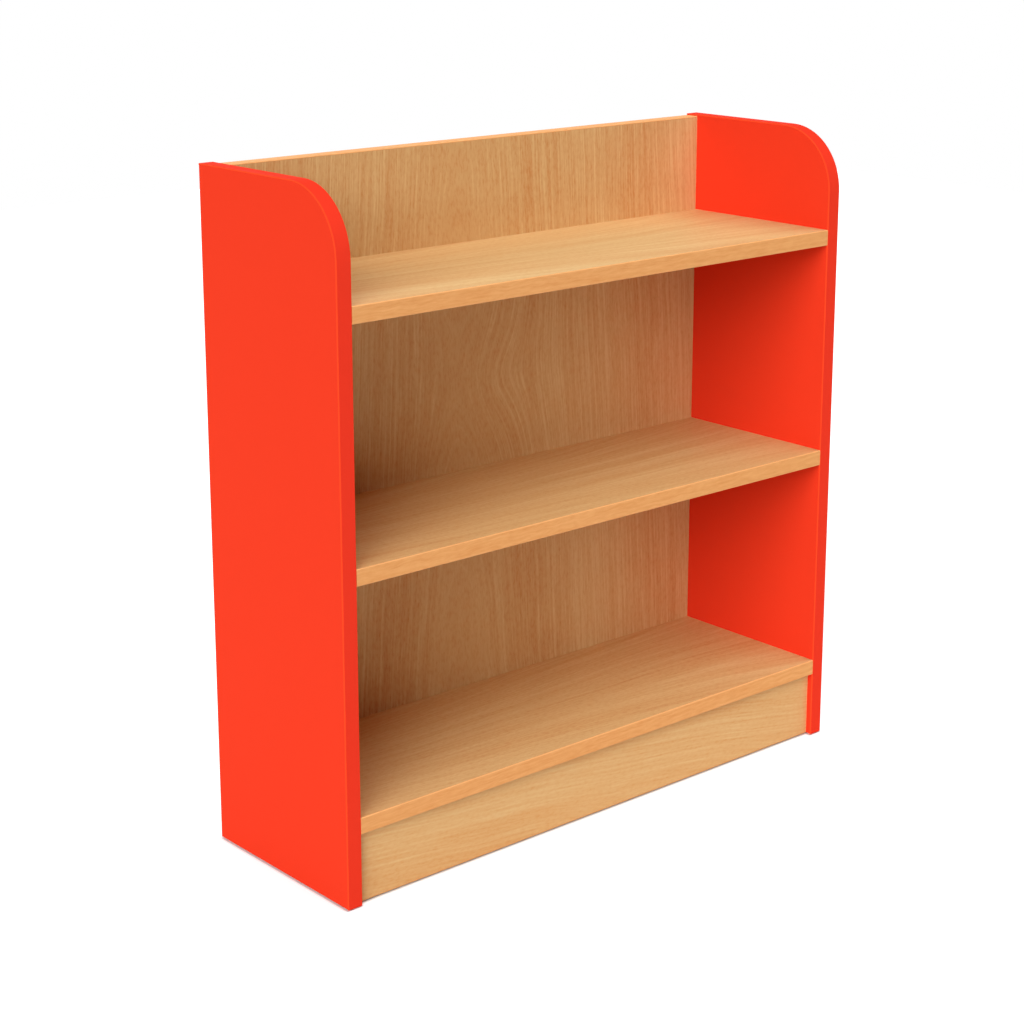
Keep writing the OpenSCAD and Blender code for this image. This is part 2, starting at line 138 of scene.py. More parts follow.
class BookcaseBeech(bpy.types.PropertyGroup):
    """Beech-effect laminate of the shelves, the back panel and the plinth."""

    light_tone: colour_property("Light tone", "Colour of the pale, yellowish streaks", (0.753, 0.516, 0.238))
    dark_tone: colour_property("Dark tone", "Colour of the reddish streaks", (0.574, 0.227, 0.061))
    ring_width: length_property("Ring width", "Distance between two growth rings", 0.0122)
    line_width: length_property("Line width", "Width of the lines of tone inside the bands", 0.004)
    band_width: length_property("Band width", "Width of the broader bands of tone", 0.026)
    thread_width: length_property("Thread width", "Width of the finest lines along the grain", 0.0024)
    wander: length_property("Wander", "How far the grain strays from a straight line", 0.022)
    ripple: length_property("Ripple", "Height of the small waves in the grain", 0.004)
    sway: length_property("Sway", "How far the rings near the heart are pushed up and down", 0.012)
    swell: length_property("Swell", "How far the rings are drawn in where the trunk is thickest", 0.055)
    swell_place: length_property("Swell place", "Distance of that place from the heart line", 0.068)
    swell_width: length_property("Swell width", "Half the width of that place", 0.08)
    swell_length: length_property("Swell length", "Half the length of that place", 0.09)
    pith: length_property("Pith", "Depth of the pith under the face", 0.06)
    heart_calm: share_property("Heart calm", "How much the tones fade at the heart", 0.7)
    band_tone: share_property("Band tone", "Strength of the broader bands", 0.26)
    shelf_bands: share_property("Shelf bands", "Strength of the broader bands on the shelves", 0.35)
    line_tone: share_property("Line tone", "Strength of the lines", 0.44)
    thread_tone: share_property("Thread tone", "Strength of the finest lines", 0.32)
    pale_threads: share_property("Pale threads", "Strength of the palest of the finest lines", 0.12)
    ring_tone: share_property("Ring tone", "Strength of the growth rings", 0.36)
    shelf_lines: share_property("Shelf lines", "Strength of all fine lines on the shelves", 0.62)
    back_lines: number_property("Back lines", "Strength of all fine lines on the back panel", 1.4)
    darkest_line: number_property("Darkest line", "Depth past which no line of the back panel goes", -0.12)
    broad_tone: share_property("Broad tone", "Strength of the slow change of tone across a board", 0.12)
    fleck_width: length_property("Fleck width", "Width of the short dark flecks", 0.003)
    fleck_length: length_property("Fleck length", "Length of the short dark flecks", 0.01)
    fleck_depth: length_property("Fleck depth", "Depth to which the flecks are pressed in", 0.00006)
    fleck_tone: share_property("Fleck tone", "Strength of all flecks", 0.48)
    dash_tone: share_property("Dash tone", "Strength added to the darkest flecks", 0.24)
    plain_tone: share_property("Plain tone", "Share of the light tone between the lines", 0.58)
    back_tone: share_property("Back tone", "The same share on the back panel", 0.52)
    plinth_light: colour_property("Plinth light tone", "Pale streaks of the plinth", (0.780, 0.492, 0.219))
    plinth_dark: colour_property("Plinth dark tone", "Reddish streaks of the plinth", (0.680, 0.281, 0.078))
    roughness: share_property("Roughness", "Roughness of the melamine face", 0.45)
    specular: share_property("Specular", "Mirror share of the melamine", 0.06)


class BookcaseRed(bpy.types.PropertyGroup):
    """Red laminate of the two end panels."""

    colour: colour_property("Colour", "Colour of the red face", (0.845, 0.0462, 0.0165))
    pearl_size: length_property("Pearl size", "Width of the bumps of the pearl texture", 0.0012)
    pearl_depth: length_property("Pearl depth", "Height of the bumps of the pearl texture", 0.00003)
    roughness: share_property("Roughness", "Roughness of the red face", 0.45)
    specular: share_property("Specular", "Mirror share of the red face", 0.006)


class BookcaseCore(bpy.types.PropertyGroup):
    """Chipboard under the laminate, seen in the holes and at the edges that carry no band."""

    skin: length_property("Skin", "Thickness of the laminate on each face", 0.0003)
    chip_size: length_property("Chip size", "Length of the chips in the core", 0.004)
    light_tone: colour_property("Light chips", "Colour of the pale chips", (0.62, 0.45, 0.27))
    dark_tone: colour_property("Dark chips", "Colour of the dark chips", (0.34, 0.21, 0.11))
    roughness: share_property("Roughness", "Roughness of bare chipboard", 0.85)


class BookcaseBands(bpy.types.PropertyGroup):
    """Edge bands of the boards."""

    thickness: length_property("Thickness", "Thickness of an edge band", 0.002)
    corner_radius: length_property("Corner radius", "Radius of the top front corner of an end panel", 0.1)
    glue_line: length_property("Glue line", "Width of the dark line where a band meets its board", 0.00018)
    # The arrises of the bands get a painted highlight: a paler colour, this wide, where light catches their
    # rounded edges
    arris_highlight_width: length_property("Arris", "Width of the pale, scraped arrises of the bands", 0.0016)
    slant: number_property("Slant", "Lean of the mottle along the beech bands", 1.0)
    red: colour_property("Red", "Colour of the bands on the end panels", (0.90, 0.0445, 0.0195))
    # The colour below is the painted highlight on the arrises of the red bands, a paler red where light
    # catches them
    red_arris_highlight: colour_property("Red arris", "Colour of the arrises on the end panels", (0.95, 0.066, 0.0195))
    light_tone: colour_property("Light tone", "Pale streaks of the beech bands", (0.898, 0.453, 0.176))
    dark_tone: colour_property("Dark tone", "Reddish streaks of the beech bands", (0.752, 0.305, 0.091))
    relief: length_property("Relief", "Depth of the flecks pressed into the beech bands", 0.00004)
    red_relief: length_property("Red relief", "Height of the fine lines drawn along the red bands", 0.00002)
    roughness: share_property("Roughness", "Roughness of the bands", 0.4)
    specular: share_property("Specular", "Mirror share of the beech bands", 0.01)
    red_specular: share_property("Red specular", "Mirror share of the red bands", 0.0006)


class BookcaseFittings(bpy.types.PropertyGroup):
    """Cams, bolts, screws, dowels, plugs, caps, glides and nails."""

    zinc: colour_property("Zinc", "Colour of the die-cast cams", (0.36, 0.365, 0.375))
    steel: colour_property("Steel", "Colour of the plated bolts and screws", (0.72, 0.70, 0.62))
    plastic: colour_property("Plastic", "Colour of the cover caps and plugs", (0.80, 0.42, 0.16))
    nylon: colour_property("Nylon", "Colour of the glides", (0.03, 0.03, 0.032))
    dowel_light: colour_property("Dowel light", "Pale wood of the dowels", (0.66, 0.47, 0.27))
    dowel_dark: colour_property("Dowel dark", "Dark wood of the dowels", (0.52, 0.34, 0.18))
    zinc_roughness: share_property("Zinc roughness", "Roughness of the cams", 0.62)
    steel_roughness: share_property("Steel roughness", "Roughness of the bolts and screws", 0.26)
    plastic_roughness: share_property("Plastic roughness", "Roughness of the cover caps and plugs", 0.45)
    nylon_roughness: share_property("Nylon roughness", "Roughness of the glides", 0.4)
    dowel_roughness: share_property("Dowel roughness", "Roughness of the dowels", 0.7)
    zinc_grain: length_property("Zinc grain", "Width of the casting grain of the cams", 1 / 2600)
    steel_grain: length_property("Steel grain", "Width of the scratches in the plating", 1 / 1500)
    relief: length_property("Relief", "Height of the grain of metal and moulded plastic", 0.00003)
    dowel_relief: length_property("Dowel relief", "Depth of the pores of the dowels", 0.00005)


class BookcaseFasteners(bpy.types.PropertyGroup):
    """Threads, flutes, rings and drives that are cut into the bolts, screws, dowels and nails."""

    thread_crest: length_property("Thread crest", "Diameter of a bolt's thread", 0.006)
    thread_root: length_property("Thread root", "Diameter under a bolt's thread", 0.0042)
    thread_pitch: length_property("Thread pitch", "Advance of a bolt's thread in one turn", 0.0024)
    thread_length: length_property("Thread length", "Length of a bolt's thread", 0.011)
    shaft: length_property("Shaft", "Diameter of a bolt's shaft", 0.007)
    neck: length_property("Neck", "Diameter of a bolt's neck", 0.0038)
    neck_end: length_property("Neck end", "Distance from the joint to a bolt's head", 0.0311)
    shaft_end: length_property("Shaft end", "Distance from the joint to a bolt's neck", 0.0262)
    bolt_head: length_property("Bolt head", "Diameter of a bolt's head", 0.006)
    cross_length: length_property("Cross length", "Length of the cross recess in a bolt's head", 0.0034)
    cross_width: length_property("Cross width", "Width of the cross recess in a bolt's head", 0.0009)
    cross_depth: length_property("Cross depth", "Depth of the cross recess in a bolt's head", 0.0014)
    screw_crest: length_property("Screw crest", "Diameter of a screw's thread", 0.007)
    screw_root: length_property("Screw root", "Diameter under a screw's thread", 0.0046)
    screw_pitch: length_property("Screw pitch", "Advance of a screw's thread in one turn", 0.003)
    screw_tip: length_property("Screw tip", "Length of a screw's tapered tip", 0.006)
    screw_shoulder: length_property("Screw shoulder", "Diameter of a screw in the back panel", 0.007)
    shoulder_length: length_property("Shoulder length", "Length of a screw in the back panel", 0.0185)
    screw_head: length_property("Screw head", "Diameter of a screw's head", 0.011)
    screw_head_height: length_property("Screw head height", "Height of a screw's head", 0.0035)
    socket_width: length_property("Socket width", "Width across the flats of a screw's socket", 0.004)
    socket_depth: length_property("Socket depth", "Depth of a screw's socket", 0.0022)
    flutes: IntProperty(
        name="Flutes", description="Number of flutes round a dowel", min=6, max=40, default=20
    )
    flute_depth: length_property("Flute depth", "Depth of a dowel's flutes", 0.0003)
    chamfer: length_property("Chamfer", "Chamfer at the ends of the dowels and threads", 0.0006)
    ring_pitch: length_property("Ring pitch", "Distance between two rings on a glide's nail", 0.0012)
    ring_depth: length_property("Ring depth", "Depth of the rings on a glide's nail", 0.00015)
    nail: length_property("Nail", "Diameter of a glide's nail", 0.0024)
    nail_head: length_property("Nail head", "Diameter of the head of a glide's nail", 0.006)
    nail_head_height: length_property("Nail head height", "Thickness of the head of a glide's nail", 0.0008)
    nail_point: length_property("Nail point", "Length of the point of a glide's nail", 0.0032)


class BookcaseStudio(bpy.types.PropertyGroup):
    """Camera, lamps and floor."""

    camera_place: FloatVectorProperty(
        name="Camera place", description="Where the camera stands", subtype="TRANSLATION", unit="LENGTH",
        default=(-2.1558, -2.41257, 1.4240),
    )
    camera_pitch: angle_property("Camera pitch", "Tilt of the camera up from straight down", 90 - 13.7401)
    camera_turn: angle_property("Camera turn", "Turn of the camera about the vertical", -41.0367)
    lens: FloatProperty(name="Lens", description="Focal length", unit="CAMERA", default=76.0576)
    sensor: FloatProperty(name="Sensor", description="Width of the sensor", unit="CAMERA", default=36.0)
    shift: number_property("Shift", "Vertical shift of the lens", -0.11)
    camera_reach: length_property("Camera reach", "Distance up to which the camera sees", 50.0)
    dome: share_property("Dome", "Strength of the even light from all round", 0.05)
    key_turn: angle_property("Key turn", "Direction of the key light, from front to right", -61)
    key_height: angle_property("Key height", "Height of the key light above the horizon", 28)
    key_size: angle_property("Key size", "Angle that the key light fills", 42)
    key_strength: number_property("Key strength", "Strength of the key light", 2.82)
    fill_turn: angle_property("Fill turn", "Direction of the fill light, from front to right", 55)
    fill_height: angle_property("Fill height", "Height of the fill light above the horizon", 69)
    fill_size: angle_property("Fill size", "Angle that the fill light fills", 60)
    fill_strength: number_property("Fill strength", "Strength of the fill light", 1.7)
    back_turn: angle_property("Back turn", "Direction of the back light, from front to right", 170)
    back_height: angle_property("Back height", "Height of the back light above the horizon", 25)
    back_size: angle_property("Back size", "Angle that the back light fills", 45)
    back_strength: number_property("Back strength", "Strength of the back light", 1.6)
    floor_size: length_property("Floor size", "Side of the square floor", 12.0)
    floor_colour: colour_property("Floor colour", "Colour of the floor under its glow", (0.8, 0.8, 0.8))
    floor_glow: share_property("Floor glow", "Share of white that shadows leave", 0.48)
    contact: length_property("Contact", "How far from the boards the floor keeps its full shadow", 0.005)


class Wire:
    """An output socket in a node tree. Operators on wires and numbers add Math nodes and give a wire."""

    def __init__(self, socket):
        self.socket = socket

    def node(self, kind, settings, inputs, output=None):
        """Adds a node to this wire's tree."""
        return add_node(self.socket.id_data, kind, settings, inputs, output)

    def math(self, operation, *values):
        return self.node("ShaderNodeMath", {"operation": operation}, dict(enumerate(values)))

    def __add__(self, other):
        return self.math("ADD", self, other)

    def __sub__(self, other):
        return self.math("SUBTRACT", self, other)

    def __rsub__(self, other):
        return self.math("SUBTRACT", other, self)

    def __mul__(self, other):
        return self.math("MULTIPLY", self, other)

    def __truediv__(self, other):
        return self.math("DIVIDE", self, other)

    def __rtruediv__(self, other):
        return self.math("DIVIDE", other, self)

    __radd__ = __add__
    __rmul__ = __mul__

    def least(self, other):
        return self.math("MINIMUM", self, other)

    def most(self, other):
        return self.math("MAXIMUM", self, other)

    def root(self):
        return self.math("SQRT", self)

    def axes(self):
        """The three numbers of a vector wire."""
        split = self.node("ShaderNodeSeparateXYZ", {}, {"Vector": self}, "X").socket.node
        return [Wire(split.outputs[i]) for i in range(3)]

    def point(self, x, y, z):
        return self.node("ShaderNodeCombineXYZ", {}, {"X": x, "Y": y, "Z": z})

    def step(self, low, high):
        """0 below low, 1 above high, and smooth between them."""
        return self.node(
            "ShaderNodeMapRange", {"interpolation_type": "SMOOTHSTEP"},
            {"Value": self, "From Min": low, "From Max": high},
        )

    def scaled(self, scale):
        """This vector times a number, such as a noise's cells in a metre."""
        return self.node("ShaderNodeVectorMath", {"operation": "SCALE"}, {"Vector": self, "Scale": scale})

    def noise(self, detail, roughness=0.5):
        """Noise with cells of size 1 at this vector, centred on 0 and about 1 high."""
        found = self.node(
            "ShaderNodeTexNoise", {},
            {"Vector": self, "Scale": 1.0, "Detail": detail, "Roughness": roughness},
        )
        return (found - 0.5) * 2.0

    def blend(self, low, high):
        """Mix of two colours, low where this wire is 0 and high where it is 1."""
        return self.node(
            "ShaderNodeMix", {"data_type": "RGBA", "clamp_factor": True},
            {"Factor": self, "A": low, "B": high},
        )


def pick(sockets, name):
    """The socket in use that has this name or number, or the first in use."""
    if isinstance(name, int):
        return sockets[name]
    return next(s for s in sockets if s.enabled and name in (None, s.name))


def add_node(tree, kind, settings, inputs, output=None):
    """Adds one node: its settings first, then its sockets by name or number, from wires or values."""
    made = tree.nodes.new(kind)
    for name, value in settings.items():
        setattr(made, name, value)
    for name, value in inputs.items():
        socket = pick(made.inputs, name)
        if isinstance(value, Wire):
            tree.links.new(value.socket, socket)
        elif socket.type == "RGBA":
            socket.default_value = (*value, 1.0)
        else:
            socket.default_value = value
    return Wire(pick(made.outputs, output)) if made.outputs else None


def new_material(name):
    """A material with no shader yet, and the wire of the piece's own coordinates in metres."""
    material = bpy.data.materials.new(name)
    material.use_nodes = True
    material.node_tree.nodes.clear()
    return material, add_node(material.node_tree, "ShaderNodeTexCoord", {}, {}, "Object")


def surface(place, **inputs):
    """Ends a material with one Principled shader. Its sockets are given by name, with _ for a space."""
    named = {key.replace("_", " "): value for key, value in inputs.items()}
    shader = place.node("ShaderNodeBsdfPrincipled", {}, named)
    place.node("ShaderNodeOutputMaterial", {}, {"Surface": shader})


def face_noise(first, second, cells, seed, detail, roughness=0.5):
    """Noise on a face, with cells[0] cells in a metre one way and cells[1] the other."""
    return first.point(first * cells[0], second * cells[1], seed).noise(detail, roughness)


def bump(place, height, distance, strength):
    return place.node("ShaderNodeBump", {}, {"Height": height, "Distance": distance, "Strength": strength})


def darker(colour, share):
    """A colour times a share, for the darker spots of a surface."""
    return [part * share for part in colour]


def dress(node, material):
    """Puts a material on a CAD node, whose mesh stays as it is."""
    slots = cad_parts[node].data.materials
    slots.clear()
    slots.append(material)


def depth_along(place, node, axis):
    """How deep a point lies under the nearer of a node's two faces across an axis."""
    low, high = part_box(node)
    here = place.axes()[axis]
    return (here - low[axis]).least(high[axis] - here)


def with_core(place, node, core, face, axis):
    """Face colour on the two laminated faces, and chipboard wherever the board is cut or drilled."""
    cut = depth_along(place, node, axis).step(core.skin, core.skin * 1.5)
    pale = (place.scaled(1.0 / core.chip_size).noise(3.0, 0.7) + 0.5).step(0.2, 0.8)
    return cut, cut.blend(face, pale.blend(core.dark_tone, core.light_tone))


def growth_rings(look, run, away, side, grain):
    """A point's place among the growth rings, its nearness to the heart, and its bent distance from it.

    The rings are cones round the pith, cut by the board. A point's ring is
    sqrt(a * a + p * p) + h / (1 + u * u + v * v) + r * (l + s * b), with a measured across from
    the heart line and b from the board's middle, p the depth of the pith, r the place along the
    grain, l the lean of the rings and s how fast they spread. The middle term is the swell: h is
    its height, and u and v are the distances across and along from the place where the trunk is
    thickest, as shares of its half width and half length. Noise bends the rings: it makes them
    wander across, ripple, and sway up and down near the heart.
    """
    seed = grain["seed"]
    drift = face_noise(away, run, DRIFT_CELLS, seed, 1.0)
    ripple = face_noise(away, run, RIPPLE_CELLS, seed + RIPPLE, 2.0)
    bent = away + drift * look.wander
    radius = (bent * bent + look.pith * look.pith).root()
    near = look.pith * look.pith / (radius * radius)
    sway = face_noise(away, run, SWAY_CELLS, seed + SWAY, 1.0) * near
    aside = (away - look.swell_place) / look.swell_width
    above = (run - grain["apex"]) / look.swell_length
    swell = look.swell / (aside * aside + above * above + 1.0)
    cone = radius + swell + run * (side * grain["spread"] + grain["lean"])
    return cone + ripple * look.ripple + sway * look.sway, near, bent


def beech_tone(look, node, run, side, grain):
    """Share of the light tone on a board, and the mottle of flecks and the darkest flecks in it.

    Noise of the ring, stretched along the grain, gives bands, lines and threads, and a sine of
    it gives the rings themselves, which come and go. All of them fade at the heart.
    """
    seed = grain["seed"]
    ring, near, bent = growth_rings(look, run, side - grain["heart"], side, grain)
    bands = face_noise(ring, run, (1.0 / look.band_width, BANDS_ALONG), seed + BANDS, 2.0)
    lines = face_noise(ring, run, (1.0 / look.line_width, LINES_ALONG), seed + LINES, 1.0)
    threads = face_noise(ring, run, (1.0 / look.thread_width, THREADS_ALONG), seed + THREADS, 1.0, 0.6)
    broad = face_noise(side, run, BROAD_CELLS, seed + BROAD, 1.0)
    calm = face_noise(ring, run, CALM_CELLS, seed + CALM, 0.0)
    wave = (ring * (2.0 * math.pi / look.ring_width) + bands * UNEVEN_RINGS).math("SINE")
    comb = wave * (calm + 0.5).step(0.0, 0.9)
    fleck_cells = (1.0 / look.fleck_width, 1.0 / look.fleck_length)
    flecks = face_noise(bent, run, fleck_cells, seed + FLECKS, 2.0, 0.6)
    dashes = flecks.step(0.05, 0.65)
    fine, wide, plain = 1.0, look.band_tone, look.plain_tone
    if node in SHELVES:
        fine, wide = look.shelf_lines, look.shelf_bands
    if node == "back_panel":
        fine, plain = look.back_lines, look.back_tone
        lines, threads = lines.most(look.darkest_line), threads.most(look.darkest_line)
    thin = lines * look.line_tone + threads * look.thread_tone + comb * look.ring_tone
    thin = thin + threads.step(0.15, 0.55) * look.pale_threads
    rings = (bands * wide + thin * fine) * (1.0 - near * look.heart_calm)
    tone = rings + flecks * look.fleck_tone + broad * look.broad_tone - dashes * look.dash_tone + plain
    return tone, flecks, dashes


def beech_board(node, grain, context):
    """Beech laminate of one board, with its grain along one axis and chipboard under its faces."""
    look, core = context.scene.bookcase_beech, context.scene.bookcase_core
    material, place = new_material(node + "_beech")
    axes = place.axes()
    tone, flecks, dashes = beech_tone(look, node, axes[grain["along"]], axes[grain["across"]], grain)
    if node == "plinth":
        face = tone.blend(look.plinth_dark, look.plinth_light)
    else:
        face = tone.blend(look.dark_tone, look.light_tone)
    cut, colour = with_core(place, node, core, face, grain["deep"])
    relief = dashes * -1.0 + cut * (flecks * 2.0)
    rough = cut * (core.roughness - look.roughness) + dashes * 0.05 + look.roughness
    surface(
        place, Base_Color=colour, Roughness=rough, Specular_IOR_Level=look.specular,
        Normal=bump(place, relief, look.fleck_depth, 0.35),
    )
    dress(node, material)


def red_board(node, context):
    """Plain red laminate with a fine pearl texture, and chipboard under its faces."""
    look, core = context.scene.bookcase_red, context.scene.bookcase_core
    material, place = new_material(node + "_red")
    pearl = place.scaled(1.0 / look.pearl_size).noise(2.0, 0.6)
    cloud = place.scaled(RED_CLOUDS).noise(2.0)
    face = (cloud * 0.25 + pearl * 0.35 + 0.5).blend(darker(look.colour, 0.975), look.colour)
    cut, colour = with_core(place, node, core, face, X)
    rough = cut * (core.roughness - look.roughness) + pearl * 0.03 + look.roughness
    surface(
        place, Base_Color=colour, Roughness=rough, Specular_IOR_Level=look.specular,
        Normal=bump(place, pearl, look.pearl_depth, 0.3),
    )
    dress(node, material)


def band_depth(place, node, bands):
    """How deep a point of a band lies under the outer edge of its board.

    Round the corner of an end panel that is the radius minus the distance from the corner's centre,
    sqrt(p * p + q * q), with p and q kept at 0 below and behind the centre.
    """
    low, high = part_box(node)
    y, z = place.axes()[Y:]
    if node.endswith("_front_band"):
        p = (low.y + bands.corner_radius - y).most(0.0)
        q = (z - (high.z - bands.corner_radius)).most(0.0)
        return bands.corner_radius - (p * p + q * q).root()
    if node.endswith("_rear_band"):
        return high.y - y
    if node.endswith("bottom_band") or node == "plinth_band":
        return z - low.z
    if node.endswith("_top_band"):
        return high.z - z
    return y - low.y


def band_marks(place, node, bands, axis):
    """Depth under the board's outer edge, share of the glue line, and share of the painted highlight on the
    arrises along an axis.
    """
    depth = band_depth(place, node, bands)
    blur = bands.glue_line * GLUE_BLUR
    line = bands.thickness - bands.glue_line
    glue = depth.step(line - blur, line + blur)
    edge = depth_along(place, node, axis)
    return depth, glue, edge.step(bands.arris_highlight_width, bands.arris_highlight_width * (1.0 - ARRIS_HIGHLIGHT_BLUR))


def red_band(node, context):
    """Red plastic band with a painted highlight on its arrises and the fine lines that drawing it through its
    die leaves.
    """
    bands = context.scene.bookcase_bands
    material, place = new_material(node + "_red")
    x, y, z = place.axes()
    depth, glue, edge = band_marks(place, node, bands, X)
    across, along = DRAWN_CELLS
    lines = place.point(x * across, depth * across, (y + z) * along).noise(2.0, 0.6)
    grit = place.scaled(GRIT_CELLS).noise(2.0, 0.6)
    tone = (lines * 0.2 + grit * 0.3 + 0.5).blend(darker(bands.red, 0.96), bands.red)
    # edge marks the arrises, which get a painted highlight: a paler red where light catches the rounded edge
    colour = glue.blend(edge.blend(tone, bands.red_arris_highlight), darker(bands.red, 0.7))
    surface(
        place, Base_Color=colour, Roughness=lines * 0.04 + bands.roughness,
        Specular_IOR_Level=bands.red_specular,
        Normal=bump(place, lines + grit * 0.7, bands.red_relief, 0.3),
    )
    dress(node, material)


def beech_band(node, seed, context):
    """Beech-effect plastic band with a painted highlight on its arrises, its print along it in short streaks.
    """
    bands = context.scene.bookcase_bands
    material, place = new_material(node + "_beech")
    axis = Z if node.endswith("_shelf_band") else Y
    x, across = place.axes()[X], place.axes()[axis]
    depth, glue, edge = band_marks(place, node, bands, axis)
    rise = across + depth
    wave = face_noise(x, rise, WAVE_CELLS, seed + WAVES, 1.0)
    along, over = STREAK_CELLS
    streaks = place.point(x * along, rise * over + wave * 0.9, seed).noise(4.0, 0.65)
    along, over = MOTTLE_CELLS
    slanted = x - rise * bands.slant
    mottle = place.point(slanted * along, rise * over + wave * 1.5, seed + MOTTLE).noise(3.0, 0.65)
    flecks = face_noise(x, rise, SPECK_CELLS, seed + SPECKS, 2.0, 0.6).step(0.2, 0.8)
    # edge * 0.6 is a painted highlight: a paler tone along the arrises, where light catches the rounded edge
    tone = streaks * 0.65 + mottle * 0.55 - flecks * 0.35 + edge * 0.6 + 0.5
    colour = glue.blend(tone.blend(bands.dark_tone, bands.light_tone), darker(bands.dark_tone, 0.6))
    surface(
        place, Base_Color=colour, Roughness=flecks * 0.05 + bands.roughness,
        Specular_IOR_Level=bands.specular,
        Normal=bump(place, flecks * -1.0 + streaks * 0.3, bands.relief, 0.3),
    )
    dress(node, material)


def metal(fittings, name, colour, roughness, grain):
    """Plated or cast metal: cloudy tone, with fine scratches or casting grain in its gloss."""
    material, place = new_material(name)
    cloud = place.scaled(METAL_CLOUDS).noise(3.0)
    fine = place.scaled(1.0 / grain).noise(2.0)
    tone = (cloud * 0.6 + 0.5).blend(darker(colour, 0.86), colour)
    surface(
        place, Base_Color=tone, Metallic=1.0, Roughness=fine * 0.08 + cloud * 0.05 + roughness,
        Normal=bump(place, fine, fittings.relief, 0.4),
    )
    return material


def plastic(fittings, name, colour, roughness):
    """Moulded plastic with a faint spark-eroded texture."""
    material, place = new_material(name)
    fine = place.scaled(PLASTIC_GRIT).noise(2.0)
    cloud = place.scaled(PLASTIC_CLOUDS).noise(2.0)
    tone = (cloud * 0.5 + fine * 0.3 + 0.5).blend(darker(colour, 0.93), colour)
    surface(
        place, Base_Color=tone, Roughness=fine * 0.06 + roughness, Specular_IOR_Level=0.3,
        Normal=bump(place, fine, fittings.relief, 0.4),
    )
    return material


def raw_beech(fittings, name, axis):
    """Bare beech of a dowel, its grain along the dowel."""
    material, place = new_material(name)
    across, along = PORE_CELLS
    x, y, z = [part * (along if way == axis else across) for way, part in enumerate(place.axes())]
    grain = place.point(x, y, z).noise(3.0, 0.6)
    tone = (grain * 0.9 + 0.5).blend(fittings.dowel_dark, fittings.dowel_light)
    surface(
        place, Base_Color=tone, Roughness=grain * 0.05 + fittings.dowel_roughness,
        Specular_IOR_Level=0.2, Normal=bump(place, grain, fittings.dowel_relief, 0.5),
    )
    return material


def solids(node):
    """Lowest and highest corners of each separate solid of a CAD node.

    Corners of triangles at one place are one point. Each point takes the lowest number along
    its edges, again and again, until every solid has a number of its own.
    """
    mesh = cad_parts[node].data
    places = np.empty(len(mesh.vertices) * 3)
    mesh.vertices.foreach_get("co", places)
    places = places.reshape(-1, 3)
    edges = np.empty(len(mesh.edges) * 2, np.int64)
    mesh.edges.foreach_get("vertices", edges)
    points, number = np.unique(np.round(places / WELD), axis=0, return_inverse=True)
    first, second = number.reshape(-1)[edges].reshape(-1, 2).T
    group = np.arange(len(points))
    settled = False
    while not settled:
        before = group.copy()
        lowest = np.minimum(group[first], group[second])
        np.minimum.at(group, first, lowest)
        np.minimum.at(group, second, lowest)
        group = group[group]
        settled = (group == before).all()
    own = group[number.reshape(-1)]
    return [(places[own == one].min(axis=0), places[own == one].max(axis=0)) for one in np.unique(group)]


def round_angles(count):
    return np.arange(count) * (2.0 * math.pi / count)


def turned(along, reach):
    """Points and faces of a closed piece turned about its own axis.

    A point of the grid lies at along[i] on the axis and reach[i, j] from it, at angle j. One pole
    closes each end of the grid.
    """
    rows, count = reach.shape
    angle = round_angles(count)
    ring = np.empty((rows, count, 3))
    ring[..., 0] = np.asarray(along)[:, None]
    ring[..., 1] = reach * np.cos(angle)
    ring[..., 2] = reach * np.sin(angle)
    poles = np.array([(along[0], 0.0, 0.0), (along[-1], 0.0, 0.0)])
    points = np.concatenate([ring.reshape(-1, 3), poles])
    here = np.arange(count)
    ahead = (here + 1) % count
    start = np.stack([np.full(count, rows * count), ahead, here], 1)
    end = np.stack([np.full(count, rows * count + 1), here, ahead], 1)
    end[:, 1:] += (rows - 1) * count
    low = (np.arange(rows - 1) * count)[:, None]
    walls = np.stack([low + here, low + ahead, low + ahead + count, low + here + count], -1).reshape(-1, 4)
    return points, start.tolist() + walls.tolist() + end.tolist()


def stack_rings(rings, count):
    """The grid of a turned piece from (along, reach) pairs, each reach one number or one for each angle."""
    along = np.array([ring[0] for ring in rings])
    return along, np.stack([np.broadcast_to(ring[1], count) for ring in rings])


def thread_rings(start, end, root, crest, pitch, taper, count):
    """Rings of a thread between two places on the axis.

    The reach is the root plus a ridge that is highest where along / pitch - angle / (2 pi) is a
    whole number and a half. Root and ridge rise over the taper from the start, and the ridge
    fades out over half a turn at the end.
    """
    places = np.linspace(start, end, int(round((end - start) / pitch * RINGS_PER_TURN)) + 1)
    turn = (places[:, None] / pitch - round_angles(count) / (2.0 * math.pi)) % 1.0
    ridge = np.clip((RIDGE_FOOT - np.abs(turn - 0.5)) / (RIDGE_FOOT - RIDGE_TOP), 0.0, 1.0)
    rise = np.clip((places - start) / taper, 0.0, 1.0)[:, None]
    fade = np.clip((end - places) / (pitch / 2.0), 0.0, 1.0)[:, None]
    core = root * (THREAD_TIP + (1.0 - THREAD_TIP) * rise)
    reach = (core + (crest - root) * ridge * rise * fade) / 2.0
    return list(zip(places, reach))


def cross_reach(length, width, count):
    """Reach of a cross recess: along an arm it ends at half its length, beside the arm at half its width."""
    off = np.abs((round_angles(count) + math.pi / 4.0) % (math.pi / 2.0) - math.pi / 4.0)
    beside = width / 2.0 / np.maximum(np.sin(off), 1e-9)
    return np.minimum(length / 2.0 / np.cos(off), beside)


def hexagon_reach(width, count):
    """Reach of a hexagon: half its width across flats over the cosine of the angle from a flat's middle."""
    off = (round_angles(count) + math.pi / 6.0) % (math.pi / 3.0) - math.pi / 6.0
    return width / 2.0 / np.cos(off)


